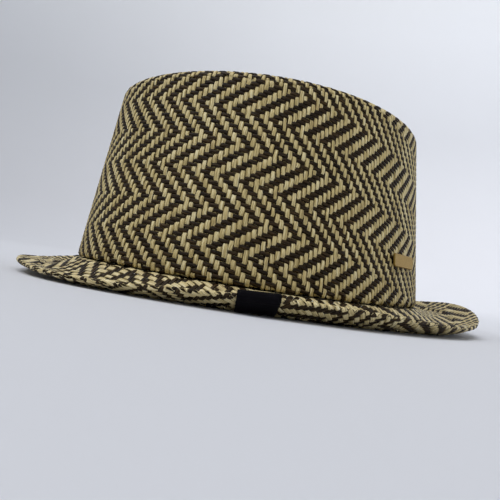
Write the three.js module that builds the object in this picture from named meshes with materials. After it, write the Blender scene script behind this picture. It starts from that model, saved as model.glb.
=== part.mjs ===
// A straw porkpie hat: a round crown with a telescope crease in its top, standing on a brim that
// is turned up at the sides, with a ribbon tab over the brim's edge and a small brass plate.
// Millimetres, +Z up. The front of the hat faces -Y and the wearer's left side is +X. The hat
// rests brim down, and z = 0 is the surface that it rests on.
import * as THREE from 'three';

// Crown, measured outside the straw
const crownLength = 208;
const crownWidth = 170;
const crownHeight = 100.2;
const crownTopArch = 4.8; // the top edge stands this much higher at the two sides
const taperFront = 12; // how far the wall leans in from the joint to the top
const taperBack = 13;
const taperSide = 13.5;
const shoulderRadius = 4.5;

// Telescope crease in the crown's top
const creaseDepth = 12;
const creaseReach = 15; // from the shoulder in to the bottom of the groove
const panelRise = 7; // from the bottom of the groove up to the middle panel
const panelReach = 13;
const panelDome = 1.5;

// Straw, and the joint of crown and brim
const strawWall = 1.8;
const jointHeight = 12.6;
const jointDip = 2; // the joint line hangs this much lower at the two sides
const seatGap = 0.3;

// Brim
const brimWidth = 35;
const troughShare = 0.5; // where the brim's lowest line starts, as a share of its width
const lipShare = 0.62; // where the brim starts to turn up
const brimLift = 9; // height of the brim's lowest line at the back, where it is highest
const brimLip = 6.4; // how far the edge turns up at the sides
const hemWidth = 10;
const hemWall = 2.6;
const hemStep = 2;
const noseReach = 1; // how far the folded edge bulges past the hem

// Stations from the front to the back, for the wearer's left side and its right side.
// width is a share of brimWidth, lift of brimLift and lip of brimLip.
const brimStations = [
  { place: 'front', width: 0.84, liftLeft: 0.5, liftRight: 0.5, lipLeft: 0.15, lipRight: 0.15 },
  { place: 'front quarter', width: 1, liftLeft: 0, liftRight: 0.75, lipLeft: 0.35, lipRight: 1.2 },
  { place: 'side', width: 1.05, liftLeft: 0, liftRight: 0, lipLeft: 1.1, lipRight: 1.2 },
  { place: 'back quarter', width: 0.96, liftLeft: 0, liftRight: 0.7, lipLeft: 0.7, lipRight: 1.1 },
  { place: 'back', width: 1, liftLeft: 1, liftRight: 1, lipLeft: 0.95, lipRight: 0.95 },
];

// Ribbon tab over the brim's edge
const tabWidth = 16;
const tabThickness = 1;
const tabReachTop = 8;
const tabReachUnder = 8.5;
const tabAngle = -9.2; // degrees from the hat's left side, negative towards the front

// Brass plate on the crown
const plateLength = 22;
const plateHeight = 7;
const plateThickness = 1.2;
const plateCorner = 0.9;
const plateBevel = 0.25;
const plateAngle = 43; // degrees from the hat's left side, positive towards the back
const plateRise = 24; // from the joint up to the plate's middle

// How finely the curved pieces are divided
const columns = 84;
const wallRows = 2;
const shoulderRows = 4;
const creaseRows = 4;
const panelRows = 3;
const middleRows = 2;
const fallRows = 4;
const lipRows = 4;
const tabColumns = 5;
const tabRows = 4;

const mix = THREE.MathUtils.lerp;
const ease = (share) => (1 - Math.cos(Math.PI * share)) / 2;
const steps = (count) => Array.from({ length: count + 1 }, (_, i) => i / count);

// Skin collects points in rings and joins them into one closed surface
class Skin {
  constructor() {
    this.places = [];
    this.corners = [];
  }

  point(place) {
    this.places.push(place.x, place.y, place.z);
    return this.places.length / 3 - 1;
  }

  ring(places) {
    return places.map((place) => this.point(place));
  }

  quad(a, b, c, d) {
    this.corners.push(a, b, c, a, c, d);
  }

  // The band faces out where its rings run anticlockwise from above and `upper` lies above `lower`
  band(lower, upper) {
    lower.forEach((corner, i) => {
      const next = (i + 1) % lower.length;
      this.quad(corner, lower[next], upper[next], upper[i]);
    });
  }

  cap(ring, pole, facesUp) {
    ring.forEach((corner, i) => {
      const next = ring[(i + 1) % ring.length];
      this.corners.push(...(facesUp ? [corner, next, pole] : [next, corner, pole]));
    });
  }

  geometry() {
    const geometry = new THREE.BufferGeometry();
    geometry.setAttribute('position', new THREE.Float32BufferAttribute(this.places, 3));
    geometry.setIndex(this.corners);
    geometry.computeVertexNormals();
    return geometry;
  }
}

const angles = Array.from({ length: columns }, (_, i) => (2 * Math.PI * i) / columns);

// Heights of the joint line and of the crown's top edge
const sideShare = (angle) => Math.cos(angle) ** 2;
const jointZ = (angle) => jointHeight - jointDip * sideShare(angle);
const topZ = (angle) => jointHeight + crownHeight + crownTopArch * sideShare(angle);

// Half length and half width of the crown at a share of its height
function crownHalves(angle, share) {
  const taperEnd = Math.sin(angle) > 0 ? taperBack : taperFront;
  return { along: crownLength / 2 - taperEnd * share, across: crownWidth / 2 - taperSide * share };
}

// A point of the crown's outside, moved in by `inset` and shrunk towards the middle by `scale`
function crownPoint(angle, z, inset = 0, scale = 1) {
  const share = (z - jointZ(angle)) / (topZ(angle) - jointZ(angle));
  const { along, across } = crownHalves(angle, Math.min(share, 1));
  const x = (across - inset) * scale * Math.cos(angle);
  const y = (along - inset) * scale * Math.sin(angle);
  return new THREE.Vector3(x, y, z);
}

// The crown's section from its foot over the shoulder and down into the crease. Each row gives the
// height at an angle, the inset from the wall and the scale towards the middle.
function crownRows() {
  const foot = (angle, share) => mix(jointZ(angle), topZ(angle) - shoulderRadius, share);
  const rows = steps(wallRows).map((share) => ({ z: (a) => foot(a, share), inset: 0, scale: 1 }));
  steps(shoulderRows).slice(1).forEach((share) => {
    const turn = share * Math.PI / 2;
    rows.push({
      z: (a) => topZ(a) - shoulderRadius * (1 - Math.sin(turn)),
      inset: shoulderRadius * (1 - Math.cos(turn)),
      scale: 1,
    });
  });
  steps(creaseRows).slice(1).forEach((share) => {
    const inset = shoulderRadius + creaseReach * share;
    rows.push({ z: (a) => topZ(a) - creaseDepth * ease(share), inset, scale: 1 });
  });
  const grooveInset = shoulderRadius + creaseReach;
  steps(panelRows).slice(1).forEach((share) => {
    const fall = creaseDepth - panelRise * ease(share);
    rows.push({ z: (a) => topZ(a) - fall, inset: grooveInset + panelReach * share, scale: 1 });
  });
  const panelInset = grooveInset + panelReach;
  const panelFall = creaseDepth - panelRise;
  steps(middleRows + 1).slice(1, -1).forEach((share) => {
    const scale = 1 - share;
    const dome = panelDome * (1 - scale ** 2);
    rows.push({ z: (a) => mix(middleZ, topZ(a) - panelFall, scale) + dome, inset: panelInset, scale });
  });
  return rows;
}

// The middle panel evens out to one height at its centre
const middleZ = jointHeight + crownHeight + crownTopArch / 2 - creaseDepth + panelRise;

function buildCrown() {
  const rows = crownRows();
  const outside = rows.map((row) => angles.map((a) => crownPoint(a, row.z(a), row.inset, row.scale)));
  const inside = outside.map((ring, r) => ring.map((place, c) => {
    const around = ring[(c + 1) % columns].clone().sub(ring[(c + columns - 1) % columns]);
    const after = outside[Math.min(r + 1, rows.length - 1)][c];
    const before = outside[Math.max(r - 1, 0)][c];
    const normal = around.cross(after.clone().sub(before)).normalize();
    const lining = place.clone().addScaledVector(normal, -strawWall);
    // The foot stays level, so that it sits flat on the brim
    if (r === 0) {
      lining.z = place.z;
    }
    return lining;
  }));
  const skin = new Skin();
  const outer = outside.map((ring) => skin.ring(ring));
  const inner = inside.map((ring) => skin.ring(ring));
  for (let r = 0; r + 1 < rows.length; r += 1) {
    skin.band(outer[r], outer[r + 1]);
    skin.band(inner[r + 1], inner[r]);
  }
  const centre = new THREE.Vector3(0, 0, middleZ + panelDome);
  skin.cap(outer.at(-1), skin.point(centre), true);
  skin.cap(inner.at(-1), skin.point(centre.clone().setZ(centre.z - strawWall)), false);
  skin.band(inner[0], outer[0]);
  return skin.geometry();
}

// A value of the brim at an angle, from the stations, with no overshoot between them
function station(angle, column) {
  const place = (Math.asin(Math.sin(angle)) / (Math.PI / 2) + 1) / 2 * (brimStations.length - 1);
  const index = Math.min(Math.floor(place), brimStations.length - 2);
  const at = (i) => {
    const last = brimStations.length - 1;
    const folded = i < 0 ? -i : i > last ? 2 * last - i : i;
    return brimStations[folded][column];
  };
  const slope = (i) => {
    const before = at(i) - at(i - 1);
    const after = at(i + 1) - at(i);
    return before * after > 0 ? (2 * before * after) / (before + after) : 0;
  };
  const t = place - index;
  const start = (1 + 2 * t) * (1 - t) ** 2 * at(index) + t * (1 - t) ** 2 * slope(index);
  const end = t ** 2 * (3 - 2 * t) * at(index + 1) + t ** 2 * (t - 1) * slope(index + 1);
  return start + end;
}

// A value that differs on the two sides: the left side has its own alone
function sided(angle, name) {
  const right = Math.max(-Math.cos(angle), 0);
  return mix(station(angle, `${name}Left`), station(angle, `${name}Right`), right);
}

const brimWidthAt = (angle) => brimWidth * station(angle, 'width');

// Height of the brim's lower face at a distance out from the joint. It falls from the joint to the
// trough, whose lowest stretch is the level strip that the hat rests on, and turns up to the edge.
function brimUnder(angle, out) {
  const width = brimWidthAt(angle);
  const start = jointZ(angle) - seatGap - strawWall;
  const trough = brimLift * sided(angle, 'lift');
  const fall = Math.sin(Math.min(Math.max(out / width / troughShare, 0), 1) * Math.PI / 2);
  const turned = Math.max((out / width - lipShare) / (1 - lipShare), 0);
  return mix(start, trough, fall) + brimLip * sided(angle, 'lip') * turned ** 1.5;
}

// The straw is folded over along the edge, which makes the hem thicker
function brimWall(angle, out) {
  const hemStart = brimWidthAt(angle) - hemWidth;
  return mix(strawWall, hemWall, THREE.MathUtils.smoothstep(out, hemStart - hemStep, hemStart));
}

const brimTop = (angle, out) => brimUnder(angle, out) + brimWall(angle, out);

// A point at a distance out from the joint, along the crown's normal
function brimPoint(angle, out, z) {
  const foot = crownHalves(angle, 0);
  const normal = new THREE.Vector2(foot.along * Math.cos(angle), foot.across * Math.sin(angle)).normalize();
  const x = foot.across * Math.cos(angle) + normal.x * out;
  const y = foot.along * Math.sin(angle) + normal.y * out;
  return new THREE.Vector3(x, y, z);
}

// The folded edge, halfway down the hem
function brimNose(angle, proud = 0) {
  const width = brimWidthAt(angle);
  return { out: width + noseReach + proud, z: (brimTop(angle, width) + brimUnder(angle, width)) / 2 };
}

// Distances out from the joint, as shares of the brim's width
const brimShares = [
  ...steps(fallRows).map((share) => share * troughShare),
  ...steps(lipRows).map((share) => mix(lipShare, 1, share)),
];

function buildBrim() {
  const skin = new Skin();
  const ringAt = (outAt, zAt) => skin.ring(angles.map((a) => brimPoint(a, outAt(a), zAt(a, outAt(a)))));
  const outs = [() => -strawWall, ...brimShares.map((share) => (a) => brimWidthAt(a) * share)];
  const under = outs.map((outAt) => ringAt(outAt, brimUnder));
  const nose = skin.ring(angles.map((a) => brimPoint(a, brimNose(a).out, brimNose(a).z)));
  const top = outs.map((outAt) => ringAt(outAt, brimTop)).reverse();
  const loop = [...under, nose, ...top];
  loop.forEach((ring, r) => skin.band(ring, loop[(r + 1) % loop.length]));
  return skin.geometry();
}

// The tab's section: the brim's own section near its edge, moved out from it by `proud`
function tabSection(angle, proud) {
  const width = brimWidthAt(angle);
  const top = steps(tabRows).map((share) => width - tabReachTop * (1 - share));
  const under = steps(tabRows).map((share) => width - tabReachUnder * share);
  const nose = brimNose(angle);
  const path = [
    ...top.map((out) => new THREE.Vector2(out, brimTop(angle, out))),
    new THREE.Vector2(nose.out, nose.z),
    ...under.map((out) => new THREE.Vector2(out, brimUnder(angle, out))),
  ];
  return path.map((place, i) => {
    const before = path[Math.max(i - 1, 0)];
    const after = path[Math.min(i + 1, path.length - 1)];
    const along = after.clone().sub(before).normalize();
    return new THREE.Vector2(place.x - along.y * proud, place.y + along.x * proud);
  });
}

function buildTab() {
  const centre = THREE.MathUtils.degToRad(tabAngle);
  const nearby = 0.01;
  const edge = (angle) => brimPoint(angle, brimWidthAt(angle), 0);
  const speed = edge(centre + nearby).distanceTo(edge(centre - nearby)) / (2 * nearby);
  const skin = new Skin();
  const loops = steps(tabColumns).map((share) => {
    const angle = centre + ((share - 0.5) * tabWidth) / speed;
    const inner = tabSection(angle, seatGap);
    const outer = tabSection(angle, seatGap + tabThickness).reverse();
    return [...inner, ...outer].map((place) => skin.point(brimPoint(angle, place.x, place.y)));
  });
  loops.slice(1).forEach((loop, i) => skin.band(loop, loops[i]));
  const [first, last] = [loops[0], loops.at(-1)];
  const final = first.length - 1;
  for (let i = 0; i < final / 2 - 1; i += 1) {
    skin.quad(first[i], first[i + 1], first[final - i - 1], first[final - i]);
    skin.quad(last[i + 1], last[i], last[final - i], last[final - i - 1]);
  }
  return skin.geometry();
}

// The plate is flat, with rounded corners, and touches the round wall only at its middle
function buildPlate() {
  const [halfLength, halfHeight] = [plateLength / 2 - plateBevel, plateHeight / 2 - plateBevel];
  const outline = new THREE.Shape();
  outline.moveTo(-halfLength + plateCorner, -halfHeight);
  outline.absarc(halfLength - plateCorner, -halfHeight + plateCorner, plateCorner, -Math.PI / 2, 0);
  outline.absarc(halfLength - plateCorner, halfHeight - plateCorner, plateCorner, 0, Math.PI / 2);
  outline.absarc(-halfLength + plateCorner, halfHeight - plateCorner, plateCorner, Math.PI / 2, Math.PI);
  outline.absarc(-halfLength + plateCorner, -halfHeight + plateCorner, plateCorner, Math.PI, 1.5 * Math.PI);
  return new THREE.ExtrudeGeometry(outline, {
    depth: plateThickness - 2 * plateBevel,
    bevelSize: plateBevel,
    bevelThickness: plateBevel,
    bevelSegments: 1,
    curveSegments: 4,
  });
}

// Turns the plate to face out of the crown's wall and seats it there
function placePlate(plate) {
  const angle = THREE.MathUtils.degToRad(plateAngle);
  const z = jointZ(angle) + plateRise;
  const nearby = 0.01;
  const around = crownPoint(angle + nearby, z).sub(crownPoint(angle - nearby, z)).normalize();
  const upward = crownPoint(angle, z + 1).sub(crownPoint(angle, z));
  const normal = around.clone().cross(upward).normalize();
  plate.setRotationFromMatrix(new THREE.Matrix4().makeBasis(around, normal.clone().cross(around), normal));
  plate.position.copy(crownPoint(angle, z).addScaledVector(normal, seatGap + plateBevel));
}

function piece(name, geometry, color, roughness, metalness = 0) {
  const mesh = new THREE.Mesh(geometry, new THREE.MeshStandardMaterial({ color, roughness, metalness }));
  mesh.name = name;
  return mesh;
}

const hat = new THREE.Group();
const plate = piece('crown_plate', buildPlate(), 0x9a8a5c, 0.4, 1);
placePlate(plate);
hat.add(
  piece('crown', buildCrown(), 0xa8986a, 0.7),
  piece('brim', buildBrim(), 0x9a8a5e, 0.7),
  piece('brim_tab', buildTab(), 0x0c0a12, 0.8),
  plate,
);

// Sets the origin halfway between the brim's front and back edges
hat.position.y = (brimWidthAt(-Math.PI / 2) - brimWidthAt(Math.PI / 2)) / 2;

export default hat;
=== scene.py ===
"""Looks of a straw porkpie hat: two-colour woven straw, a ribbon tab and a small brass plate."""
import logging
import math
from dataclasses import dataclass, field
from enum import Enum

import bpy
import numpy as np
from bpy.types import Material, NodeSocket, Object, ShaderNode
from mathutils import Matrix, Vector


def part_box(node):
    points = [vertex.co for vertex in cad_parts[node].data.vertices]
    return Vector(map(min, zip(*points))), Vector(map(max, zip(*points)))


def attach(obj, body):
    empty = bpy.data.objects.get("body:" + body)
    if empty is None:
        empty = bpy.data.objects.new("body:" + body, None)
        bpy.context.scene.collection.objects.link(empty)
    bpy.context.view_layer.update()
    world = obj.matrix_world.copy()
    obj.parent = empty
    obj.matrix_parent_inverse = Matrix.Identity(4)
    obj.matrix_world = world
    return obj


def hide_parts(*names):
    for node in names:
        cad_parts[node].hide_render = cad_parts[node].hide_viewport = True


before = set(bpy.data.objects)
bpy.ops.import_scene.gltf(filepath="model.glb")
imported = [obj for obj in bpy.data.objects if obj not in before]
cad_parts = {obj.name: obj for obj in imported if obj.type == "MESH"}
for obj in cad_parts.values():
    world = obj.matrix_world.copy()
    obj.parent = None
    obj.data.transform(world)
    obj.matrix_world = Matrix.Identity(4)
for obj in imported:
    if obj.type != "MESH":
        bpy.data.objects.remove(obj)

Array = np.ndarray
MM = 0.001
ROOT = "root"
log = logging.getLogger("hat")

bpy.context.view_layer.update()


# Small helpers


def linear(colour: str) -> tuple[float, float, float, float]:
    """Turn an sRGB hex colour into linear red, green, blue and alpha.

    Args:
        colour: six hex digits after a hash, such as "#C9BC84".

    Returns:
        The linear colour with an alpha of 1.
    """
    parts = [int(colour[i:i + 2], 16) / 255 for i in (1, 3, 5)]
    values = [p / 12.92 if p <= 0.04045 else ((p + 0.055) / 1.055) ** 2.4 for p in parts]
    return (values[0], values[1], values[2], 1.0)


def add_node(material: Material, kind: str, settings: dict | None = None,
             **links: object) -> ShaderNode:
    """Add one shader node with its settings and links.

    Args:
        material: the material that gets the node.
        kind: the node's Blender type after "ShaderNode", such as "Math".
        settings: attributes, or input values by socket name or number.
        links: sockets or values by input name, with underscores for spaces.

    Returns:
        The new node.
    """
    tree = material.node_tree
    node = tree.nodes.new(f"ShaderNode{kind}")
    for name, value in (settings or {}).items():
        if isinstance(name, int) or name in node.inputs:
            node.inputs[name].default_value = value
        else:
            setattr(node, name, value)
    for name, source in links.items():
        key = int(name[1:]) if name[0] == "_" else name.replace("_", " ")
        tree.links.new(source, node.inputs[key])
    return node


def new_material(name: str) -> tuple[Material, ShaderNode]:
    """Make an empty node material.

    Args:
        name: the material's name.

    Returns:
        The material and its Principled shader.
    """
    material = bpy.data.materials.new(name)
    material.use_nodes = True
    shader = material.node_tree.nodes["Principled BSDF"]
    return material, shader


def two_tone(material: Material, share: NodeSocket, low: str, high: str) -> NodeSocket:
    """Blend two colours.

    Args:
        material: the material that gets the ramp.
        share: share of the second colour.
        low: the first colour, sRGB hex.
        high: the second colour, sRGB hex.

    Returns:
        The blended colour.
    """
    ramp = add_node(material, "ValToRGB", Fac=share)
    for stop, colour in zip(ramp.color_ramp.elements, (low, high)):
        stop.color = linear(colour)
    return ramp.outputs["Color"]


def ease(share: Array) -> Array:
    """Rise from 0 to 1 with level ends."""
    return (1 - np.cos(np.pi * share)) / 2


def smoothstep(value: Array, low: Array, high: Array) -> Array:
    """Rise smoothly from 0 at `low` to 1 at `high`."""
    share = np.clip((value - low) / (high - low), 0, 1)
    return share * share * (3 - 2 * share)


# The hat's form


@dataclass(frozen=True)
class BrimStation:
    """Shares of the brim's width, lift and lip at one place, on the wearer's left and right."""

    width: float
    lift_left: float
    lift_right: float
    lip_left: float
    lip_right: float


# From the front to the back
BRIM_STATIONS = (
    BrimStation(width=0.84, lift_left=0.5, lift_right=0.5, lip_left=0.15, lip_right=0.15),
    BrimStation(width=1.0, lift_left=0.0, lift_right=0.75, lip_left=0.35, lip_right=1.2),
    BrimStation(width=1.05, lift_left=0.0, lift_right=0.0, lip_left=1.1, lip_right=1.2),
    BrimStation(width=0.96, lift_left=0.0, lift_right=0.7, lip_left=0.7, lip_right=1.1),
    BrimStation(width=1.0, lift_left=1.0, lift_right=1.0, lip_left=0.95, lip_right=0.95),
)


@dataclass
class HatForm:
    """The hat's outside surfaces, in millimetres, with the main sizes taken from the frame."""

    joint_dip: float = 2.0
    top_arch: float = 4.8
    taper_front: float = 12.0
    taper_back: float = 13.0
    taper_side: float = 13.5
    shoulder: float = 4.5
    crease_depth: float = 12.0
    crease_reach: float = 15.0
    panel_rise: float = 7.0
    panel_reach: float = 13.0
    panel_dome: float = 1.5
    wall: float = 1.8
    seat_gap: float = 0.3
    trough: float = 0.5
    lip_start: float = 0.62
    brim_lift: float = 9.0
    brim_lip: float = 6.4
    hem_width: float = 10.0
    hem_wall: float = 2.6
    hem_step: float = 2.0
    nose: float = 1.0
    length: float = field(init=False)
    width: float = field(init=False)
    centre_y: float = field(init=False)
    joint_height: float = field(init=False)
    height: float = field(init=False)
    brim_width: float = field(init=False)

    def __post_init__(self) -> None:
        """Read the crown's and the brim's main sizes from the frame."""
        low, high = (np.array(corner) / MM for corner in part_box("crown"))
        self.length = high[1] - low[1]
        self.width = high[0] - low[0]
        self.centre_y = (high[1] + low[1]) / 2
        self.joint_height = low[2] + self.joint_dip
        self.height = high[2] - self.top_arch - self.joint_height
        side_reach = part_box("brim")[1][0] / MM - self.width / 2 - self.nose
        self.brim_width = side_reach / BRIM_STATIONS[2].width

    def joint(self, angle: Array) -> Array:
        """Height of the joint of crown and brim."""
        return self.joint_height - self.joint_dip * np.cos(angle) ** 2

    def top(self, angle: Array) -> Array:
        """Height of the crown's top edge."""
        return self.joint_height + self.height + self.top_arch * np.cos(angle) ** 2

    def halves(self, angle: Array, share: Array) -> tuple[Array, Array]:
        """Half width and half length of the crown at a share of its height."""
        taper_end = np.where(np.sin(angle) > 0, self.taper_back, self.taper_front)
        return self.width / 2 - self.taper_side * share, self.length / 2 - taper_end * share

    def wall_place(self, angle: Array, z: Array, inset: Array) -> Array:
        """Place on the crown's wall or shoulder.

        Args:
            angle: angle round the hat, 0 at the left side and a quarter turn at the back.
            z: height.
            inset: how far the place is moved in from the wall's line.

        Returns:
            Places as rows of x, y, z.
        """
        joint = self.joint(angle)
        share = (z - joint) / (self.top(angle) - joint)
        across, along = self.halves(angle, share)
        x = (across - inset) * np.cos(angle)
        y = (along - inset) * np.sin(angle) + self.centre_y
        return np.stack([x, y, z], axis=-1)

    def tip_height(self, x: Array, y: Array) -> Array:
        """Height of the creased top at a place inside the shoulder.

        Args:
            x: place across the hat.
            y: place along the hat.

        Returns:
            The height of the top's outside.
        """
        y = y - self.centre_y
        taper_end = np.where(y > 0, self.taper_back, self.taper_front)
        across = self.width / 2 - self.taper_side
        along = self.length / 2 - taper_end
        angle = np.arctan2(y / along, x / across)
        groove = self.shoulder + self.crease_reach
        panel = groove + self.panel_reach
        low = np.zeros_like(x)
        high = np.full_like(x, panel)
        for _ in range(24):
            middle = (low + high) / 2
            inside = (x / (across - middle)) ** 2 + (y / (along - middle)) ** 2 < 1
            low = np.where(inside, middle, low)
            high = np.where(inside, high, middle)
        inset = (low + high) / 2
        fall = self.crease_depth * ease(np.clip((inset - self.shoulder) / self.crease_reach, 0, 1))
        fall -= self.panel_rise * ease(np.clip((inset - groove) / self.panel_reach, 0, 1))
        scale = np.sqrt((x / (across - panel)) ** 2 + (y / (along - panel)) ** 2)
        scale = np.where(inset > panel - 0.01, np.clip(scale, 0, 1), 1.0)
        level = self.joint_height + self.height + self.top_arch / 2
        rim = scale * self.top(angle) + (1 - scale) * level
        return rim - fall + self.panel_dome * (1 - scale ** 2)

    def station(self, angle: Array, column: str) -> Array:
        """Share of a brim size at an angle, with no overshoot between the stations.

        Args:
            angle: angle round the hat.
            column: name of the station's field.

        Returns:
            The share at each angle.
        """
        values = np.array([getattr(s, column) for s in BRIM_STATIONS])
        last = len(values) - 1
        place = (np.arcsin(np.sin(angle)) / (np.pi / 2) + 1) / 2 * last
        index = np.minimum(np.floor(place).astype(int), last - 1)
        steps = np.diff(np.concatenate([[values[1]], values, [values[-2]]]))
        before, after = steps[:-1], steps[1:]
        meet = before * after > 0
        total = np.where(meet, before + after, 1.0)
        slope = np.where(meet, 2 * before * after / total, 0.0)
        t = place - index
        start = (1 + 2 * t) * (1 - t) ** 2 * values[index] + t * (1 - t) ** 2 * slope[index]
        end = t ** 2 * (3 - 2 * t) * values[index + 1] + t ** 2 * (t - 1) * slope[index + 1]
        return start + end

    def sided(self, angle: Array, name: str) -> Array:
        """Share of a size that differs on the right side, where it blends in round the ends.

        Args:
            angle: angle round the hat.
            name: lift or lip.

        Returns:
            The share at each angle.
        """
        right = np.clip(-np.cos(angle), 0, None)
        left_share, right_share = (self.station(angle, f"{name}_{s}") for s in ("left", "right"))
        return left_share + (right_share - left_share) * right

    def brim_reach(self, angle: Array) -> Array:
        """Width of the brim at an angle."""
        return self.brim_width * self.station(angle, "width")

    def brim_under(self, angle: Array, out: Array) -> Array:
        """Height of the brim's lower face at a distance out from the joint.

        Args:
            angle: angle round the hat.
            out: distance out from the joint.

        Returns:
            The heights.
        """
        reach = self.brim_reach(angle)
        start = self.joint(angle) - self.seat_gap - self.wall
        trough = self.brim_lift * self.sided(angle, "lift")
        fall = np.sin(np.clip(out / reach / self.trough, 0, 1) * np.pi / 2)
        turned = np.clip((out / reach - self.lip_start) / (1 - self.lip_start), 0, None)
        lip = self.brim_lip * self.sided(angle, "lip") * turned ** 1.5
        return start + (trough - start) * fall + lip

    def hem_share(self, angle: Array, out: Array) -> Array:
        """Share of the hem's extra thickness, 0 inside the hem and 1 on it."""
        start = self.brim_reach(angle) - self.hem_width
        return smoothstep(out, start - self.hem_step, start)

    def brim_place(self, angle: Array, out: Array, z: Array) -> Array:
        """Place at a distance out from the joint, along the crown's normal.

        Args:
            angle: angle round the hat.
            out: distance out from the joint.
            z: height.

        Returns:
            Places as rows of x, y, z.
        """
        across, along = self.halves(angle, np.zeros_like(angle))
        normal = np.stack([along * np.cos(angle), across * np.sin(angle)], axis=-1)
        normal /= np.linalg.norm(normal, axis=-1, keepdims=True)
        x = across * np.cos(angle) + normal[..., 0] * out
        y = along * np.sin(angle) + normal[..., 1] * out + self.centre_y
        return np.stack([x, y, z], axis=-1)


# The weave


@dataclass(frozen=True)
class Weave:
    """A two by two twill that turns back every few rows, which draws zigzags round the hat."""

    warps: int = 256
    row_pitch: float = 2.17
    rows_per_band: int = 8
    float_length: int = 2
    swing: float = 0.36
    thickness: float = 0.56
    warp_cover: float = 0.9
    weft_cover: float = 0.95
    warp_pitch: float = 2.33
    front_spacing: float = 1.16
    back_spacing: float = 0.9

    def spacing(self, angle: Array) -> Array:
        """Share of the mean spacing at which the hand-laid warps stand: wider at the front."""
        front, back = self.front_spacing, self.back_spacing
        return front - (front - back) * smoothstep(np.sin(angle), -0.35, 0.6)

    def warp_is_up(self, column: Array, row: Array) -> Array:
        """Tell where an upright straw, by its number, passes over a level one.

        Args:
            column: number of the upright straw.
            row: number of the level straw.

        Returns:
            True where the upright straw is outside.
        """
        bands = 2 * self.rows_per_band
        shift = self.rows_per_band - np.abs(np.mod(row, bands) - self.rows_per_band)
        repeat = 2 * self.float_length
        return np.mod(column - shift, repeat) < self.float_length


class Sheet:
    """A woven surface with places by warp number and row number."""

    outward = 1.0

    def __init__(self, form: HatForm, weave: Weave) -> None:
        """Keep the form and work out where the upright straws stand round the joint.

        Args:
            form: the hat's form.
            weave: the weave.
        """
        self.form = form
        self.weave = weave
        dense = np.linspace(-np.pi, np.pi, 4097)
        foot = form.wall_place(dense, form.joint(dense), np.zeros_like(dense))
        steps = np.linalg.norm(np.diff(foot[:, :2], axis=0), axis=1)
        steps /= weave.spacing((dense[1:] + dense[:-1]) / 2)
        run = np.concatenate([[0], np.cumsum(steps)])
        self._angles = dense
        self._warps = run / run[-1] * weave.warps

    def angle(self, u: Array) -> Array:
        """Angle of a warp number, with the warps spaced round the joint as the weave says."""
        turns = np.floor(u / self.weave.warps)
        return np.interp(u - turns * self.weave.warps, self._warps, self._angles)

    def place(self, u: Array, v: Array) -> Array:
        """Place of the middle of the straw sheet."""
        raise NotImplementedError

    def frame_at(self, u: Array, v: Array) -> tuple[Array, Array, Array]:
        """Steps to the next warp and to the next row, and the outward unit normal.

        Args:
            u: warp numbers.
            v: row numbers.

        Returns:
            The two steps and the normal.
        """
        nearby = 0.25
        du = (self.place(u + nearby, v) - self.place(u - nearby, v)) / (2 * nearby)
        dv = (self.place(u, v + nearby) - self.place(u, v - nearby)) / (2 * nearby)
        normal = np.cross(du, dv) * self.outward
        normal /= np.maximum(np.linalg.norm(normal, axis=-1, keepdims=True), 1e-9)
        return du, dv, normal


@dataclass
class Slope:
    """How the weave's rings lie on the crown: lower at the back and higher at the sides."""

    tilt: float = -20.8
    bulge: float = 10.2
    first_band: float = -3.7


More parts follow.
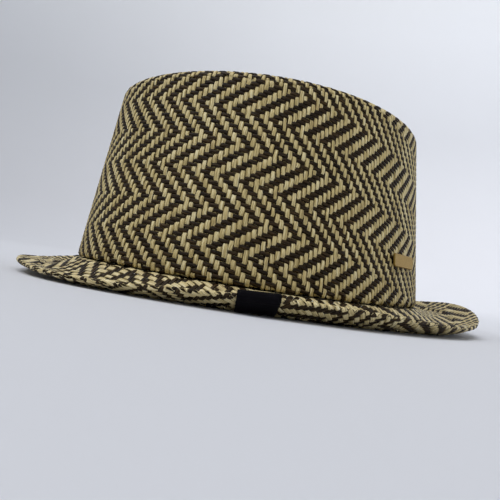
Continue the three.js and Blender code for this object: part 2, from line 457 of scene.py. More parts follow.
class CrownSheet(Sheet):
    """The woven crown: the wall, the shoulder and the creased top, whose weave starts off centre."""

    eye_y = 20.0
    centre_row = 90.0
    foot_tuck = 1.5
    foot_rows = 1.4

    def __init__(self, form: HatForm, weave: Weave, slope: Slope) -> None:
        """Keep the slope of the rings and measure the way from the shoulder to the weave's eye.

        Args:
            form: the hat's form.
            weave: the weave.
            slope: how the weave's rings lie.
        """
        super().__init__(form, weave)
        self.slope = slope
        self.depth = weave.swing + weave.thickness / 2
        columns = np.arange(weave.warps + 1, dtype=float)
        shares = np.linspace(0, 1, 161)
        u, t = np.meshgrid(columns, shares, indexing="ij")
        path = self._tip_place(self.angle(u), t)
        run = np.cumsum(np.linalg.norm(np.diff(path, axis=1), axis=2), axis=1)
        run = np.concatenate([np.zeros((len(columns), 1)), run], axis=1)
        self._shares = np.stack([np.interp(shares, r / r[-1], shares) for r in run])

    def ring_offset(self, angle: Array) -> Array:
        """Height by which a ring of the weave departs from level."""
        return self.slope.tilt * np.sin(angle) + self.slope.bulge * np.cos(angle) ** 2

    def row_of(self, angle: Array, z: Array) -> Array:
        """Row number at a height on the wall."""
        level = z - self.form.joint_height - self.ring_offset(angle) - self.slope.first_band
        return level / self.weave.row_pitch

    def joint_row(self, angle: Array) -> Array:
        """Row number at the joint."""
        return self.row_of(angle, self.form.joint(angle))

    def shoulder_row(self, angle: Array) -> Array:
        """Row number where the wall starts to turn in."""
        return self.row_of(angle, self.form.top(angle) - self.form.shoulder)

    def rim_row(self, angle: Array) -> Array:
        """Row number where the shoulder meets the top."""
        arc = self.form.shoulder * np.pi / 2
        return self.shoulder_row(angle) + arc / self.weave.row_pitch

    def _tip_place(self, angle: Array, t: Array) -> Array:
        """Place on the top at a share of the way from the shoulder to the weave's eye.

        Args:
            angle: angle round the hat.
            t: share of the way to the weave's eye.

        Returns:
            Places as rows of x, y, z.
        """
        form = self.form
        rim = form.wall_place(angle, form.top(angle), np.full_like(angle, form.shoulder))
        x = rim[..., 0] * (1 - t)
        y = rim[..., 1] * (1 - t) + self.eye_y * t
        return np.stack([x, y, form.tip_height(x, y) - self.depth], axis=-1)

    def place(self, u: Array, v: Array) -> Array:
        """Place of the middle of the crown's straw.

        Args:
            u: warp numbers.
            v: row numbers.

        Returns:
            Places as rows of x, y, z.
        """
        form = self.form
        angle = self.angle(u)
        start, rim = self.shoulder_row(angle), self.rim_row(angle)
        foot = form.top(angle) - form.shoulder
        z = foot + (np.minimum(v, start) - start) * self.weave.row_pitch
        turn = np.clip((v - start) / (rim - start), 0, 1) * np.pi / 2
        inner = form.shoulder - self.depth
        z = z + np.where(v > start, inner * np.sin(turn), 0)
        inset = self.depth + inner * (1 - np.cos(turn))
        tuck = self.foot_tuck * smoothstep(
            self.joint_row(angle) + 0.9 - v, 0, self.foot_rows)
        side = form.wall_place(angle, z, inset + tuck)
        share = np.clip((v - rim) / (self.centre_row - rim), 0, 1)
        column = np.mod(u, self.weave.warps)
        grid = share * (self._shares.shape[1] - 1)
        i0 = np.floor(column).astype(int)
        j0 = np.minimum(grid.astype(int), self._shares.shape[1] - 2)
        fu, fv = column - i0, grid - j0
        table = self._shares
        near = table[i0, j0] * (1 - fv) + table[i0, j0 + 1] * fv
        far = table[i0 + 1, j0] * (1 - fv) + table[i0 + 1, j0 + 1] * fv
        top = self._tip_place(angle, near * (1 - fu) + far * fu)
        return np.where((v > rim)[..., None], top, side)


class BrimSheet(Sheet):
    """The woven brim, cut from flat cloth on the bias: its face, the fold and the hem below.

    The warps and wefts are straight in plan and cross the hat's axes at half a right angle, so
    that the zigzag's bars lie along the brim's edge and across it by turns.
    """

    outward = -1.0
    depth = 0.58
    bias_deg = 45.0
    band_start = 0.636
    hem = 9.5
    tuck = 2.8

    def __init__(self, form: HatForm, weave: Weave) -> None:
        """Keep the form and the cloth's direction.

        Args:
            form: the hat's form.
            weave: the weave.
        """
        super().__init__(form, weave)
        bias = math.radians(self.bias_deg)
        self._ahead = np.array([math.cos(bias), math.sin(bias)])
        self._aside = np.array([-math.sin(bias), math.cos(bias)])
        self.gap = form.hem_wall - 2 * self.depth
        self.fold = np.pi * self.gap / 2

    def flat(self, u: Array, v: Array) -> tuple[Array, Array]:
        """Find where a place of the cloth lies on the brim before its hem is folded.

        Args:
            u: warp numbers.
            v: row numbers.

        Returns:
            The angle round the joint and the distance out from it.
        """
        weave = self.weave
        ahead = (v + self.band_start * weave.rows_per_band) * weave.row_pitch
        aside = u * weave.warp_pitch
        x = self._ahead[0] * ahead + self._aside[0] * aside
        y = self._ahead[1] * ahead + self._aside[1] * aside
        a, b = self.form.halves(np.zeros(1), np.zeros(1))
        angle = np.arctan2(y / b, x / a)
        for _ in range(8):
            dx, dy = x - a * np.cos(angle), y - b * np.sin(angle)
            step = dy * b * np.cos(angle) - dx * a * np.sin(angle)
            bend = (a * np.sin(angle)) ** 2 + (b * np.cos(angle)) ** 2
            bend = bend + dx * a * np.cos(angle) + dy * b * np.sin(angle)
            angle = angle + np.clip(step / np.maximum(bend, 1.0), -0.3, 0.3)
        nx, ny = b * np.cos(angle), a * np.sin(angle)
        out = ((x - a * np.cos(angle)) * nx + (y - b * np.sin(angle)) * ny) / np.hypot(nx, ny)
        return angle, out

    def edge(self, angle: Array) -> Array:
        """Distance out at which the cloth starts to fold under."""
        return self.form.brim_reach(angle) + self.form.nose - self.depth - self.gap / 2

    def place(self, u: Array, v: Array) -> Array:
        """Place of the middle of the brim's straw.

        Args:
            u: warp numbers.
            v: row numbers.

        Returns:
            Places as rows of x, y, z.
        """
        form = self.form
        angle, run = self.flat(u, v)
        edge = self.edge(angle)
        turn = np.clip((run - edge) / self.fold, 0, 1) * np.pi
        out = np.minimum(run, edge) - np.maximum(run - edge - self.fold, 0)
        lift = self.gap * form.hem_share(angle, out) * (1 + np.cos(turn)) / 2
        z = form.brim_under(angle, np.minimum(out, form.brim_reach(angle))) + self.depth + lift
        return form.brim_place(angle, out + np.sin(turn) * self.gap / 2, z)

    def covers(self, u: Array, v: Array) -> Array:
        """Tell where the cloth reaches, from under the crown's foot to the hem's end."""
        angle, run = self.flat(u, v)
        return (run > -self.tuck) & (run < self.edge(angle) + self.fold + self.hem)

    def near_fold(self, u: Array, v: Array) -> Array:
        """Tell where the cloth bends sharply."""
        angle, run = self.flat(u, v)
        return np.abs(run - self.edge(angle) - self.fold / 2) < self.fold * 1.3


class Direction(Enum):
    """Which way a strand runs."""

    WARP = "warp"
    WEFT = "weft"


@dataclass
class Bundle:
    """Strands gathered as arrays, one row a sample, before they become one mesh."""

    strands: list[list[Array]] = field(default_factory=list)
    closed: list[bool] = field(default_factory=list)

    def add(self, u: Array, v: Array, side: Array, span: float, closed: bool) -> None:
        """Add one strand.

        Args:
            u: warp numbers.
            v: row numbers.
            side: 1 where the strand is outside, -1 where it is inside and 0 between.
            span: cells that the strand's width covers.
            closed: whether the strand is a whole ring.
        """
        parts = (u, v, side, span)
        self.strands.append([np.broadcast_to(part, side.shape).astype(float) for part in parts])
        self.closed.append(closed)


def samples(centres: Array, up: Array, step: float) -> tuple[Array, Array]:
    """Place samples along a strand: one at each crossing, one where it changes side.

    Args:
        centres: coordinates of the crossings.
        up: whether the strand is outside at each.
        step: distance between crossings.

    Returns:
        The samples' coordinates and sides.
    """
    change = up[1:] != up[:-1]
    between = centres[:-1][change] + step / 2
    places = np.concatenate([centres, between])
    sides = np.concatenate([np.where(up, 1.0, -1.0), np.zeros(len(between))])
    order = np.argsort(places)
    return places[order], sides[order]


# Cross-section of a flat straw, across and outward, in widths and thicknesses
SECTION = np.array([(-0.5, -0.12), (-0.28, 0.46), (0.28, 0.46), (0.5, -0.12), (0.0, -0.5)])


@dataclass
class StrandMesher:
    """Turns bundles of strands on a sheet into closed tubes."""

    sheet: Sheet
    wander: float = 0.05
    uneven: float = 0.07

    def mesh(self, name: str, bundle: Bundle, direction: Direction, seed: int) -> Object:
        """Build one piece from a bundle.

        Args:
            name: the piece's name.
            bundle: the strands.
            direction: which way they run.
            seed: seed of the strands' small differences.

        Returns:
            The mesh object.
        """
        rng = np.random.default_rng(seed)
        weave = self.sheet.weave
        counts = np.array([len(strand[0]) for strand in bundle.strands])
        strand = np.repeat(np.arange(len(counts)), counts)
        u, v, side, span = (np.concatenate(parts) for parts in zip(*bundle.strands))
        drift = rng.normal(0, self.wander, len(u))
        u, v = (u + drift, v) if direction is Direction.WARP else (u, v + drift)
        du, dv, normal = self.sheet.frame_at(u, v)
        across = du if direction is Direction.WARP else dv
        ahead = dv if direction is Direction.WARP else du
        cover = weave.warp_cover if direction is Direction.WARP else weave.weft_cover
        width = np.linalg.norm(across, axis=1) * span * cover
        width *= (1 + rng.normal(0, self.uneven, len(counts)))[strand]
        width *= 1 + rng.normal(0, self.uneven / 2, len(u))
        height = side * weave.swing + rng.normal(0, 0.03, len(u))
        centre = self.sheet.place(u, v) + normal * height[:, None]
        index = np.arange(len(u))
        first = np.concatenate([[0], np.cumsum(counts)[:-1]])
        last = first + counts - 1
        following, leading = index + 1, index - 1
        following[last], leading[first] = last, first
        for s in np.flatnonzero(bundle.closed):
            following[last[s]], leading[first[s]] = first[s], last[s]
        along = centre[following] - centre[leading]
        along = np.where(np.linalg.norm(along, axis=1, keepdims=True) > 1e-6, along, ahead)
        along /= np.linalg.norm(along, axis=1, keepdims=True)
        out = normal - along * np.sum(normal * along, axis=1, keepdims=True)
        out /= np.linalg.norm(out, axis=1, keepdims=True)
        wide = np.cross(along, out)
        corners = (centre[:, None, :]
                   + wide[:, None, :] * (SECTION[None, :, 0:1] * width[:, None, None])
                   + out[:, None, :] * (SECTION[None, :, 1:2] * weave.thickness))
        run = np.concatenate([[0], np.cumsum(np.linalg.norm(np.diff(centre, axis=0), axis=1))])
        grain = np.stack([
            SECTION[None, :, 0] * width[:, None],
            np.repeat(run[:, None], len(SECTION), axis=1),
            np.repeat(rng.random(len(counts))[strand][:, None], len(SECTION), axis=1),
        ], axis=-1)
        quads = self._quads(first, last, following, np.array(bundle.closed))
        caps = self._caps(first, last, np.array(bundle.closed))
        return mesh_object(name, corners.reshape(-1, 3), quads, caps, grain.reshape(-1, 3))

    @staticmethod
    def _quads(first: Array, last: Array, following: Array,
               closed: Array) -> Array:
        """Join each sample's section to the next one's.

        Args:
            first: each strand's first sample; not used.
            last: each strand's last sample.
            following: each sample's next one.
            closed: whether each strand is a whole ring.

        Returns:
            Four point numbers for each face.
        """
        sides = len(SECTION)
        joins = np.ones(len(following), dtype=bool)
        joins[last[~closed]] = False
        here = np.flatnonzero(joins)[:, None] * sides
        there = following[joins][:, None] * sides
        k = np.arange(sides)[None, :]
        n = (k + 1) % sides
        return np.stack([here + k, there + k, there + n, here + n], axis=-1).reshape(-1, 4)

    @staticmethod
    def _caps(first: Array, last: Array, closed: Array) -> Array:
        """Close the ends of open strands.

        Args:
            first: each strand's first sample.
            last: each strand's last sample.
            closed: whether each strand is a whole ring.

        Returns:
            The end faces' point numbers.
        """
        sides = len(SECTION)
        k = np.arange(sides)
        starts = first[~closed][:, None] * sides + k
        ends = last[~closed][:, None] * sides + k[::-1]
        return np.concatenate([starts, ends])


def mesh_object(name: str, corners: Array, quads: Array, caps: Array,
                grain: Array) -> Object:
    """Make a smooth mesh object from arrays.

    Args:
        name: the object's name.
        corners: points in millimetres.
        quads: four-sided faces.
        caps: five-sided end faces.
        grain: a vector for each point, for the straw's material.

    Returns:
        The object, linked to the scene.
    """
    mesh = bpy.data.meshes.new(name)
    loops = np.concatenate([quads.ravel(), caps.ravel()]).astype(np.int32)
    starts = np.concatenate([
        np.arange(len(quads)) * 4,
        len(quads) * 4 + np.arange(len(caps)) * caps.shape[1],
    ]).astype(np.int32)
    mesh.vertices.add(len(corners))
    mesh.vertices.foreach_set("co", (corners * MM).astype(np.float32).ravel())
    mesh.loops.add(len(loops))
    mesh.loops.foreach_set("vertex_index", loops)
    mesh.polygons.add(len(starts))
    mesh.polygons.foreach_set("loop_start", starts)
    mesh.update(calc_edges=True)
    mesh.shade_smooth()
    attribute = mesh.attributes.new("grain", "FLOAT_VECTOR", "POINT")
    attribute.data.foreach_set("vector", grain.astype(np.float32).ravel())
    mesh.validate()
    made = bpy.data.objects.new(name, mesh)
    bpy.context.scene.collection.objects.link(made)
    return made


# Finishes


@dataclass(frozen=True)
class StrawFinish:
    """Flat paper straw, slit and pressed, with fine fibres along it and a soft sheen."""

    name: str
    light: str
    middle: str
    dark: str
    sheen: float
    fibre_mm: float = 0.42
    streak_mm: float = 9.0
    strand_shift: float = 57.0
    tone_spread: float = 0.1
    dark_at: float = 0.22
    light_at: float = 0.8
    roughness: float = 0.48

    def material(self) -> Material:
        """Build the straw's material: fibre streaks in colour and relief, and a tone a strand.

        Returns:
            The material.
        """
        material, shader = new_material(self.name)
        grain = add_node(material, "Attribute", {"attribute_name": "grain"})
        parts = add_node(material, "SeparateXYZ", Vector=grain.outputs["Vector"])

        def scaled(axis: str, factor: float, offset: float = 0.0) -> NodeSocket:
            """Scale and shift one part of the grain vector."""
            return add_node(material, "Math", {"operation": "MULTIPLY_ADD", 1: factor, 2: offset},
                            _0=parts.outputs[axis]).outputs[0]

        place = add_node(material, "CombineXYZ", X=scaled("X", 1 / self.fibre_mm),
                         Y=scaled("Y", 1 / self.streak_mm), Z=scaled("Z", self.strand_shift))
        fibres = add_node(material, "TexNoise",
                          {"Scale": 1.0, "Detail": 2.0, "Roughness": 0.6},
                          Vector=place.outputs[0])
        mixed = add_node(material, "Math", {"operation": "ADD"}, _0=fibres.outputs["Fac"],
                         _1=scaled("Z", self.tone_spread, -self.tone_spread / 2))
        ramp = add_node(material, "ValToRGB", Fac=mixed.outputs[0])
        stops = ramp.color_ramp.elements
        stops[0].position, stops[0].color = self.dark_at, linear(self.dark)
        stops[1].position, stops[1].color = self.light_at, linear(self.light)
        stops.new(0.5).color = linear(self.middle)
        bump = add_node(material, "Bump", {"Strength": 0.35, "Distance": 0.05 * MM},
                        Height=fibres.outputs["Fac"])
        links = material.node_tree.links
        links.new(ramp.outputs["Color"], shader.inputs["Base Color"])
        links.new(bump.outputs["Normal"], shader.inputs["Normal"])
        shader.inputs["Roughness"].default_value = self.roughness
        shader.inputs["Specular IOR Level"].default_value = self.sheen
        return material


@dataclass(frozen=True)
class RibbonFinish:
    """Black grosgrain ribbon, woven with close cross ribs, which reads as matt black."""

    name: str = "black_grosgrain_woven"
    colour: str = "#060508"
    worn: str = "#0C0A0E"
    roughness: float = 0.95

    def material(self) -> Material:
        """Build the ribbon's material.

        Returns:
            The material.
        """
        material, shader = new_material(self.name)
        noise = add_node(material, "TexNoise", {"Scale": 900.0, "Detail": 3.0})
        colour = two_tone(material, noise.outputs["Fac"], self.colour, self.worn)
        material.node_tree.links.new(colour, shader.inputs["Base Color"])
        shader.inputs["Roughness"].default_value = self.roughness
        shader.inputs["Specular IOR Level"].default_value = 0.1
        return material


@dataclass(frozen=True)
class BrassFinish:
    """Stamped brass with an antique satin plating, brushed and then dulled."""

    name: str = "antique_brass_stamped"
    bright: str = "#BE9D56"
    dull: str = "#7A6232"
    roughness: float = 0.42
    pebble_mm: float = 0.5

    def material(self) -> Material:
        """Build the brass plate's material.

        Returns:
            The material.
        """
        material, shader = new_material(self.name)
        coordinate = add_node(material, "TexCoord")
        noise = add_node(material, "TexNoise",
                         {"Scale": 1 / (self.pebble_mm * MM), "Detail": 3.0},
                         Vector=coordinate.outputs["Object"])
        colour = two_tone(material, noise.outputs["Fac"], self.dull, self.bright)
        bump = add_node(material, "Bump", {"Strength": 0.6, "Distance": 0.12 * MM},
                        Height=noise.outputs["Fac"])
        links = material.node_tree.links
        links.new(colour, shader.inputs["Base Color"])
        links.new(bump.outputs["Normal"], shader.inputs["Normal"])
        shader.inputs["Metallic"].default_value = 1.0
        shader.inputs["Roughness"].default_value = self.roughness
        return material


# Undyed straw, slit and rolled, which gives cream strands with darker fibres and a satin light
NATURAL_STRAW = StrawFinish("natural_paper_straw", "#FAF0C4", "#CBB679", "#745E2C", sheen=0.45)
# The same straw as a paler copy for the brim, whose extra lightness is painted light for the brighter
# light the brim catches, with a glossier sheen
BRIM_STRAW_PAINTED_LIGHTER = StrawFinish("natural_paper_straw_brim_painted_lighter", "#FAF2CC", "#D3BF85", "#7B6532", sheen=0.6)
# Straw dyed through before weaving, which leaves it dark and nearly matt
BROWN_STRAW = StrawFinish("brown_dyed_paper_straw", "#554123", "#261B0C", "#0F0903", sheen=0.14)


# Sub-assemblies


def dress(piece: Object, material: Material, node: str) -> Object:
    """Give a piece its material and its place in the frame.

    Args:
        piece: the piece.
        material: its finish.
        node: the CAD node that it stands for.

    Returns:
        The piece.
    """
    piece.data.materials.clear()
    piece.data.materials.append(material)
    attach(piece, ROOT)
    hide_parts(node)
    log.info("%s: %d faces", piece.name, len(piece.data.polygons))
    return piece


@dataclass
class Crown:
    """The crown: its wall, and its shoulder and creased top, each of warps and wefts."""

    form: HatForm
    weave: Weave
    natural: Material
    brown: Material
    halvings: tuple[float, ...] = (20.0, 10.0, 5.0)
    eye_rows: float = 1.5
    tip_rows: float = 0.15

    def __post_init__(self) -> None:
        """Make the crown's sheet."""
        self.sheet = CrownSheet(self.form, self.weave, Slope())

    def _level(self, row: float) -> int:
        """How many times the warps have been halved at a row."""
        left = self.sheet.centre_row - row
        return sum(left < limit for limit in self.halvings)

    def _warps(self, start: Array, end: Array, bundle: Bundle) -> None:
        """Add the part of each warp between two row numbers.

        Args:
            start: row at which each warp starts.
            end: row at which it ends.
            bundle: gets the strands.
        """
        weave = self.weave
        limits = [self.sheet.centre_row - h for h in self.halvings] + [self.sheet.centre_row]
        for i in range(weave.warps):
            low, high = start[i], end[i]
            for level, limit in enumerate(limits):
                top = min(high, limit)
                if i % 2 ** level or top - low < 0.2:
                    continue
                rows = np.arange(math.ceil(low - 0.5), math.ceil(top - 0.5)) + 0.5
                column = i // 2 ** level
                up = weave.warp_is_up(column, np.floor(rows))
                v, side = samples(rows, up, 1.0)
                keep = (v > low + 0.05) & (v < top - 0.05)
                v, side = v[keep], side[keep]
                if len(v) == 0:
                    continue
                v = np.concatenate([[low], v, [top]])
                side = np.concatenate([side[:1], side, side[-1:]])
                bundle.add(i + 2 ** level / 2, v, side, 2.0 ** level, closed=False)
                low = top

    def _wefts(self, inside: object, rows: range, bundle: Bundle) -> None:
        """Add the part of each ring where `inside` holds for its row and warp numbers.

        Args:
            inside: tells whether a place belongs to the part.
            rows: the rings.
            bundle: gets the strands.
        """
        weave = self.weave
        for row in rows:
            step = 2 ** self._level(row + 0.5)
            centres = np.arange(0, weave.warps, step) + step / 2
            up = ~weave.warp_is_up(np.arange(len(centres)), np.array(row))
            keep = inside(centres, row + 0.5)
            if keep.all():
                start = int(np.argmax(up != np.roll(up, 1)))
                places = np.roll(centres, -start)
                places = np.where(places < places[0], places + weave.warps, places)
                u, side = samples(places, np.roll(up, -start), step)
                u = np.concatenate([[u[0] - step / 2], u])
                side = np.concatenate([[0.0], side])
                bundle.add(u, row + 0.5, side, 1.0, closed=True)
                continue
            for run in arcs(keep):
                if len(run) < 2:
                    continue
                places = centres[run % len(centres)] + (run // len(centres)) * weave.warps
                u, side = samples(places, up[run % len(centres)], step)
                u = np.concatenate([[u[0] - step / 2], u, [u[-1] + step / 2]])
                side = np.concatenate([side[:1], side, side[-1:]])
                bundle.add(u, row + 0.5, side, 1.0, closed=False)

    def build(self) -> list[Object]:
        """Weave the wall and the top.

        Returns:
            The four pieces.
        """
        sheet = self.sheet
        angles = sheet.angle(np.arange(self.weave.warps) + 0.5)
        joint, turn = sheet.joint_row(angles), sheet.shoulder_row(angles)
        end = np.full(self.weave.warps, sheet.centre_row - self.tip_rows)
        mesher = StrandMesher(sheet)
        pieces = []
        wall_warps, top_warps, wall_wefts, top_wefts = Bundle(), Bundle(), Bundle(), Bundle()
        self._warps(joint, turn, wall_warps)
        self._warps(turn, end, top_warps)

        def on_wall(u: Array, v: float) -> Array:
            angle = sheet.angle(u)
            return (v > sheet.joint_row(angle)) & (v <= sheet.shoulder_row(angle))

        def on_top(u: Array, v: float) -> Array:
            return v > sheet.shoulder_row(sheet.angle(u))

        rows = range(math.floor(joint.min()), math.ceil(turn.max()))
        self._wefts(on_wall, rows, wall_wefts)
        rows = range(math.floor(turn.min()), int(sheet.centre_row - self.eye_rows))
        self._wefts(on_top, rows, top_wefts)
        for name, bundle, direction, seed in (
            ("crown_wall_warps", wall_warps, Direction.WARP, 1),
            ("crown_wall_wefts", wall_wefts, Direction.WEFT, 2),
            ("crown_top_warps", top_warps, Direction.WARP, 3),
            ("crown_top_wefts", top_wefts, Direction.WEFT, 4),
        ):
            finish = self.natural if direction is Direction.WARP else self.brown
            pieces.append(dress(mesher.mesh(name, bundle, direction, seed), finish,
                                "crown"))
        return pieces


def arcs(keep: Array) -> list[Array]:
    """Find the runs of true values on a ring, which may pass its end.

    Args:
        keep: true where a cell belongs to the sheet.

    Returns:
        Index runs.
    """
    count = len(keep)
    if not keep.any():
        return []
    first = int(np.argmin(keep))
    order = np.arange(first, first + count)
    flags = keep[order % count]
    edges = np.flatnonzero(np.diff(np.concatenate([[0], flags.astype(int), [0]])))
    return [order[a:b] for a, b in zip(edges[::2], edges[1::2])]


@dataclass
class Brim:
    """The brim, its folded edge and hem, of warps and wefts."""

    form: HatForm
    weave: Weave
    natural: Material
    brown: Material
    fine: float = 0.25

    def __post_init__(self) -> None:
        """Make the brim's sheet."""
        self.sheet = BrimSheet(self.form, self.weave)

    def _strand(self, line: float, direction: Direction, bundle: Bundle) -> None:
        """Add the parts of one straight strand that lie on the brim.

        Args:
            line: warp number of a warp, or row number of a weft.
            direction: which way the strand runs.
            bundle: gets the parts.
        """
        sheet = self.sheet
        reach = self.form.length
        walk = np.arange(-reach, reach, self.fine / 2) + self.fine / 4

        def cloth(run: Array) -> tuple[Array, Array]:
            held = np.full_like(run, line)
            return (held, run) if direction is Direction.WARP else (run, held)

        inside = sheet.covers(*cloth(walk))
        edges = np.flatnonzero(np.diff(np.concatenate([[0], inside.astype(int), [0]])))
        for first, last in zip(edges[::2], edges[1::2] - 1):
            low, high = walk[first], walk[last]
            if high - low < 0.6:
                continue
            centres = np.arange(math.floor(low) - 1, math.ceil(high) + 1) + 0.5
            column, row = (np.floor(c) for c in cloth(centres))
            up = self.weave.warp_is_up(column, row)
            places, sides = samples(centres, up if direction is Direction.WARP else ~up, 1.0)
            extra = np.arange(math.floor(low), math.ceil(high), self.fine)
            extra = extra[sheet.near_fold(*cloth(extra))]
            run = np.unique(np.round(np.concatenate([places, extra, [low, high]]), 4))
            run = run[(run >= low) & (run <= high)]
            side = np.interp(run, places, sides)
            held = cloth(run)
            bundle.add(held[0], held[1], side, 1.0, closed=False)

    def build(self) -> list[Object]:
        """Weave the brim.

        Returns:
            The two pieces.
        """
        mesher = StrandMesher(self.sheet, wander=0.03)
        span = int(self.form.length / self.weave.row_pitch)
        lines = np.arange(-span, span) + 0.5
        pieces = []
        for name, direction, seed in (
            ("brim_warps", Direction.WARP, 5),
            ("brim_wefts", Direction.WEFT, 6),
        ):
            bundle = Bundle()
            for line in lines:
                self._strand(line, direction, bundle)
            finish = self.natural if direction is Direction.WARP else self.brown
            pieces.append(dress(mesher.mesh(name, bundle, direction, seed), finish,
                                "brim"))
        return pieces


@dataclass
class Tab:
    """The ribbon tab folded over the brim's edge, with the close cross ribs of grosgrain."""

    form: HatForm
    finish: Material
    angle_deg: float = -9.2
    width: float = 16.0
    thickness: float = 0.9
    reach_top: float = 8.0
    reach_under: float = 8.5
    rib: float = 0.8
    rib_height: float = 0.1
    columns: int = 12
    samples_per_rib: int = 6
    face_samples: int = 24
    nose_samples: int = 9

    def _section(self, angle: float) -> Array:
        """Line of the brim's own surface from its face round the edge to the hem.

        Args:
            angle: angle round the hat.

        Returns:
            Rows of distance out and height.
        """
        form = self.form
        at = np.array([angle])
        reach = float(form.brim_reach(at)[0])
        top = np.linspace(reach - self.reach_top, reach, self.face_samples)
        low = np.linspace(reach, reach - self.reach_under, self.face_samples)
        around = np.full(self.face_samples, angle)
        under = form.brim_under(around, low)
        share = form.hem_share(around, top)
        wall = form.wall + (form.hem_wall - form.wall) * share
        upper = np.stack([top, form.brim_under(around, top) + wall], axis=1)
        lower = np.stack([low, under], axis=1)
        turn = np.linspace(0, np.pi, self.nose_samples)[1:-1]
        middle = (upper[-1] + lower[0]) / 2
        half = (upper[-1] - lower[0])[1] / 2
        nose = middle + np.stack([np.sin(turn) * form.nose, np.cos(turn) * half], axis=1)
        return np.concatenate([upper, nose, lower])

    def build(self) -> Object:
        """Make the tab.

        Returns:
            The piece.
        """
        form = self.form
        centre = math.radians(self.angle_deg)
        start = self._section(centre)
        length = float(np.linalg.norm(np.diff(start, axis=0), axis=1).sum())
        count = int(length / self.rib) * self.samples_per_rib
        radius = np.hypot(*(form.brim_place(np.array([centre]), np.array([form.brim_width]),
                                            np.zeros(1))[0, :2]))
        half = self.width / radius / 2
        sheets = []
        for angle in np.linspace(centre - half, centre + half, self.columns):
            line = self._section(angle)
            run = np.concatenate([[0], np.cumsum(np.linalg.norm(np.diff(line, axis=0), axis=1))])
            at = np.linspace(0, run[-1], count + 1)
            path = np.stack([np.interp(at, run, part) for part in line.T], axis=1)
            along = np.gradient(path, axis=0)
            along /= np.linalg.norm(along, axis=1, keepdims=True)
            out = np.stack([-along[:, 1], along[:, 0]], axis=1)
            wave = np.abs(np.sin(np.pi * at / length * (count / self.samples_per_rib)))
            raised = form.seat_gap + self.thickness - self.rib_height * (1 - wave)
            outer = path + out * raised[:, None]
            inner = path + out * form.seat_gap
            sheets.append([
                form.brim_place(np.full(len(at), angle), side[:, 0], side[:, 1])
                for side in (outer, inner)
            ])
        grid = np.array(sheets)
        wide, _, tall, _ = grid.shape
        number = np.arange(wide * 2 * tall).reshape(wide, 2, tall)

        def join(first: Array, second: Array, flip: bool) -> Array:
            """Make the faces between two rows of points.

            Args:
                first: points of one row.
                second: points of the other row.
                flip: whether the faces look the other way.

            Returns:
                Four point numbers for each face.
            """
            a, b, c, d = first[:-1], first[1:], second[1:], second[:-1]
            ring = [a, d, c, b] if flip else [a, b, c, d]
            return np.stack(ring, axis=-1).reshape(-1, 4)

        faces = [
            join(number[:, 0, :-1], number[:, 0, 1:], False),
            join(number[:, 1, :-1], number[:, 1, 1:], True),
            join(number[0, 0], number[0, 1], False),
            join(number[-1, 0], number[-1, 1], True),
            join(number[:, 0, 0], number[:, 1, 0], True),
            join(number[:, 0, -1], number[:, 1, -1], False),
        ]
        corners = grid.reshape(-1, 3)
        piece = mesh_object("brim_tab_ribbed", corners, np.concatenate(faces),
                            np.zeros((0, 5), dtype=int), np.zeros_like(corners))
        return dress(piece, self.finish, "brim_tab")


# Studio


@dataclass(frozen=True)
class Lamp:
    """A wide soft light from far away, so that floor and backdrop get the same as the hat."""

    name: str
    direction: tuple[float, float, float]
    spread_deg: float
    power: float
    colour: str = "#FFFFFF"

    def build(self) -> None:
        """Add the light, shining from its direction to the hat."""
        data = bpy.data.lights.new(self.name, "SUN")
        data.angle, data.energy = math.radians(self.spread_deg), self.power
        data.color = linear(self.colour)[:3]
        lamp = bpy.data.objects.new(self.name, data)
        lamp.location = self.direction
        lamp.rotation_euler = (-Vector(self.direction)).to_track_quat("-Z", "Y").to_euler()
        bpy.context.scene.collection.objects.link(lamp)


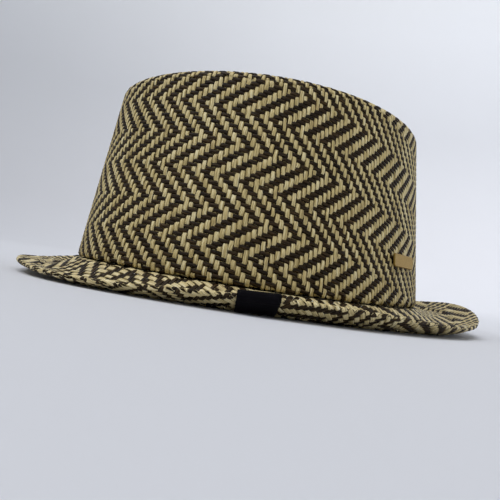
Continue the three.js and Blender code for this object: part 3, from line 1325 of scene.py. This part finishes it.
@dataclass
class Studio:
    """A round pale backdrop, soft lights and the camera."""

    form: HatForm
    floor_radius: float = 1.6
    wall_height: float = 2.0
    focal_px: float = 543.3
    image_px: float = 500.0
    sensor_mm: float = 36.0
    camera_mm: tuple[float, float, float] = (331.5, -71.9, 4.5)
    ahead: tuple[float, float, float] = (-0.97813, 0.203808, 0.041527)
    roll_deg: float = 8.72
    backdrop_low_painted_shade: str = "#DADBDE"
    backdrop_high: str = "#EDF0F4"
    backdrop_painted_side_shade: float = 0.9

    def backdrop(self) -> None:
        """Make the floor and the wall that curves up from it as one round bowl."""
        bend = 0.8
        section = [(0.0, 0.0), (self.floor_radius, 0.0)]
        section += [
            (self.floor_radius + bend * math.sin(a), bend * (1 - math.cos(a)))
            for a in np.linspace(0, math.pi / 2, 13)[1:]
        ]
        section.append((self.floor_radius + bend, self.wall_height))
        turns = 96
        points = [(r * math.cos(2 * math.pi * t / turns), r * math.sin(2 * math.pi * t / turns), z)
                  for r, z in section[1:] for t in range(turns)]
        points.append((0.0, 0.0, 0.0))
        faces = [(len(points) - 1, t, (t + 1) % turns) for t in range(turns)]
        for ring in range(len(section) - 2):
            base = ring * turns
            faces += [(base + t, base + turns + t, base + turns + (t + 1) % turns,
                       base + (t + 1) % turns) for t in range(turns)]
        mesh = bpy.data.meshes.new("backdrop")
        mesh.from_pydata(points, [], faces)
        mesh.shade_smooth()
        floor = bpy.data.objects.new("backdrop", mesh)
        bpy.context.scene.collection.objects.link(floor)
        mesh.materials.append(self.paper())

    def paper(self) -> Material:
        """Build the backdrop's matt paper with painted shade: darker low down, paler high up and
        dimmer at the hat's front.

        Returns:
            The material.
        """
        material, shader = new_material("backdrop_matt_paper")
        place = add_node(material, "TexCoord")
        parts = add_node(material, "SeparateXYZ", Vector=place.outputs["Object"])
        # Painted shade: the paper is darker on the floor and paler higher up the wall
        high = add_node(material, "MapRange",
                        {"From Min": 0.2, "From Max": 1.3}, Value=parts.outputs["Z"])
        tone = two_tone(material, high.outputs["Result"], self.backdrop_low_painted_shade, self.backdrop_high)
        # Painted shade: the paper dims towards the hat's front
        aside = add_node(material, "MapRange",
                         {"From Min": -0.9, "From Max": 0.5, "To Min": self.backdrop_painted_side_shade},
                         Value=parts.outputs["Y"])
        painted_side_shade = add_node(material, "VectorMath", {"operation": "SCALE"},
                       Vector=tone, Scale=aside.outputs["Result"])
        material.node_tree.links.new(painted_side_shade.outputs["Vector"], shader.inputs["Base Color"])
        shader.inputs["Roughness"].default_value = 0.9
        return material

    def camera(self) -> None:
        """Set the camera low beside the hat's left, rolled as the photograph is."""
        data = bpy.data.cameras.new("camera")
        data.sensor_width = self.sensor_mm
        data.lens = self.focal_px * self.sensor_mm / self.image_px
        data.clip_start = 0.01
        camera = bpy.data.objects.new("camera", data)
        x, y, z = self.camera_mm
        place = Vector((x, y + self.form.centre_y, z + self.form.joint_height)) * MM
        ahead = Vector(self.ahead).normalized()
        right = ahead.cross(Vector((0, 0, 1))).normalized()
        up = right.cross(ahead)
        turn = math.radians(self.roll_deg)
        rolled_right = right * math.cos(turn) + up * math.sin(turn)
        rolled_up = up * math.cos(turn) - right * math.sin(turn)
        basis = Matrix((rolled_right, rolled_up, -ahead)).transposed()
        camera.matrix_world = Matrix.Translation(place) @ basis.to_4x4()
        bpy.context.scene.collection.objects.link(camera)
        bpy.context.scene.camera = camera

    def lights(self) -> None:
        """Add the soft lights and a pale surrounding glow."""
        for lamp in (
            Lamp("overhead", (0.35, -0.75, 1.6), 60, 1.8, "#F8F9FF"),
            Lamp("low_fill", (1.5, -0.5, 0.3), 50, 0.55, "#FFEBC8"),
            Lamp("side_fill", (0.9, 1.5, 0.7), 60, 0.25, "#F2F6FF"),
            Lamp("front_fill", (0.5, -1.5, 0.5), 60, 0.85, "#F6F8FF"),
        ):
            lamp.build()
        world = bpy.data.worlds.new("studio_glow")
        world.use_nodes = True
        background = world.node_tree.nodes["Background"]
        background.inputs["Color"].default_value = linear("#EDF0F4")
        background.inputs["Strength"].default_value = 0.5
        bpy.context.scene.world = world

    def build(self) -> None:
        """Make the whole studio."""
        self.camera()
        self.backdrop()
        self.lights()
        scene = bpy.context.scene
        scene.view_settings.view_transform = "Standard"


def main() -> None:
    """Build the hat and its studio."""
    logging.basicConfig(level=logging.INFO, format="%(name)s: %(message)s")
    form = HatForm()
    Studio(form).build()
    natural, brown = NATURAL_STRAW.material(), BROWN_STRAW.material()
    weave = Weave()
    Crown(form, weave, natural, brown).build()
    flat = Weave(swing=0.24, thickness=0.42, warp_cover=0.98, weft_cover=1.0)
    # The brim gets the paler copy of the straw, whose extra lightness is painted light
    Brim(form, flat, BRIM_STRAW_PAINTED_LIGHTER.material(), brown).build()
    Tab(form, RibbonFinish().material()).build()
    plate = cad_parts["crown_plate"]
    plate.data.materials.clear()
    plate.data.materials.append(BrassFinish().material())


if __name__ == "__main__":
    main()
